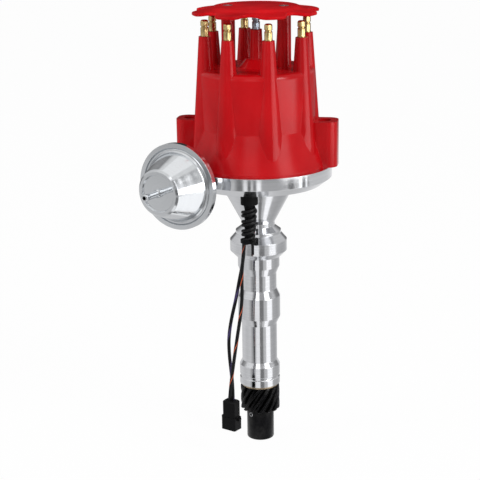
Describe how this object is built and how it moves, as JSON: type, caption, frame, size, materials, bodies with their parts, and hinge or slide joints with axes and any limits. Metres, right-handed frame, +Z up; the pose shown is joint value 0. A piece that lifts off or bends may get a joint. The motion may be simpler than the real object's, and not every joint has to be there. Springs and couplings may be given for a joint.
{
  "type": "ignition distributor",
  "caption": "Ignition distributor: turned housing with shaft and helical gear, red screw-down cap with terminals, vacuum canister, pickup and coiled lead.",
  "frame": {"origin": "on the shaft axis in the plane where the flange seats on the engine", "axes": "+Z up along the shaft towards the cap, +X through the cap's right screw ear"},
  "size_m": [0.1444, 0.1579, 0.3504],
  "materials": {
    "machined_aluminium": "turned and polished",
    "red_moulding": "glossy moulded",
    "black_moulding": "moulded",
    "terminal_brass": "turned",
    "terminal_steel": "plated",
    "bronze": "sintered",
    "bright_steel": "ground",
    "zinc_plate": "zinc plated",
    "canister_chrome": "bright plated",
    "black_oxide": "black oxide",
    "spring_steel": "drawn",
    "carbon": "pressed carbon",
    "black_rubber": "moulded",
    "violet_wire": "extruded",
    "orange_wire": "extruded"
  },
  "bodies": {
    "base": {"housing": "machined_aluminium", "lower_bush": "bronze", "bearing_outer_race": "bright_steel", "bearing_balls": "bright_steel", "bearing_snap_ring": "zinc_plate", "plate_snap_ring": "zinc_plate", "canister_front": "canister_chrome", "canister_rear": "canister_chrome", "diaphragm": "black_rubber", "canister_spring": "spring_steel", "canister_arm": "zinc_plate", "arm_screws": "zinc_plate", "lead_grommet": "black_rubber", "lead_coil": "black_rubber", "lead_tie": "black_moulding", "wire_violet": "violet_wire", "wire_orange": "orange_wire", "lead_plug": "black_moulding", "plug_pins": "bright_steel"},
    "cap_unit": {"cap": "red_moulding", "cap_screws": "zinc_plate", "outer_terminals": "terminal_brass", "coil_terminal": "terminal_steel", "carbon_brush": "carbon", "brush_spring": "spring_steel"},
    "retainer_unit": {"wire_retainer": "red_moulding", "retainer_screws": "zinc_plate"},
    "drive_shaft": {"main_shaft": "bright_steel", "drive_gear": "black_oxide", "gear_roll_pin": "bright_steel", "thrust_washer": "bronze", "advance_cam": "zinc_plate", "bearing_inner_race": "bright_steel"},
    "trigger_unit": {"trigger_plate": "zinc_plate", "reluctor": "bright_steel", "weight_pins": "bright_steel", "advance_springs": "spring_steel", "rotor": "black_moulding", "rotor_blade": "terminal_brass", "rotor_screws": "zinc_plate"},
    "front_weight": {"advance_weight_front": "zinc_plate"},
    "rear_weight": {"advance_weight_rear": "zinc_plate"},
    "pickup_unit": {"pickup_plate": "zinc_plate", "plate_link_pin": "bright_steel", "pickup_coil": "black_moulding", "pole_piece": "bright_steel"},
    "vacuum_rod": {"vacuum_link": "bright_steel"}
  },
  "joints": [
    {"name": "cap_lift", "type": "slide", "parent": "base", "child": "cap_unit", "axis": [0, 0, 1], "range_m": [0, 0.07]},
    {"name": "retainer_lift", "type": "slide", "parent": "cap_unit", "child": "retainer_unit", "axis": [0, 0, 1], "range_m": [0, 0.07]},
    {"name": "shaft_spin", "type": "hinge", "parent": "base", "child": "drive_shaft", "pos_m": [0, 0, 0], "axis": [0, 0, 1], "continuous": true},
    {"name": "mechanical_advance", "type": "hinge", "parent": "drive_shaft", "child": "trigger_unit", "pos_m": [0, 0, 0.08], "axis": [0, 0, 1], "range_deg": [-12, 0], "stiffness_Nm_per_rad": 0.4},
    {"name": "front_weight_swing", "type": "hinge", "parent": "trigger_unit", "child": "front_weight", "pos_m": [-0.0152, -0.0152, 0.085], "axis": [0, 0, 1], "range_deg": [-15, 0]},
    {"name": "rear_weight_swing", "type": "hinge", "parent": "trigger_unit", "child": "rear_weight", "pos_m": [0.0152, 0.0152, 0.085], "axis": [0, 0, 1], "range_deg": [-15, 0]},
    {"name": "vacuum_advance", "type": "hinge", "parent": "base", "child": "pickup_unit", "pos_m": [0, 0, 0.0655], "axis": [0, 0, 1], "range_deg": [0, 10], "stiffness_Nm_per_rad": 0.4},
    {"name": "vacuum_pull", "type": "slide", "parent": "base", "child": "vacuum_rod", "axis": [-0.3746, -0.9272, 0], "range_m": [0, 0.0043], "deforming": ["canister_spring"]}
  ],
  "couplings": [
    {"joint": "front_weight_swing", "follows": "mechanical_advance", "ratio": 1.25},
    {"joint": "rear_weight_swing", "follows": "mechanical_advance", "ratio": 1.25},
    {"joint": "vacuum_pull", "follows": "vacuum_advance", "m_per_rad": 0.024562}
  ]
}
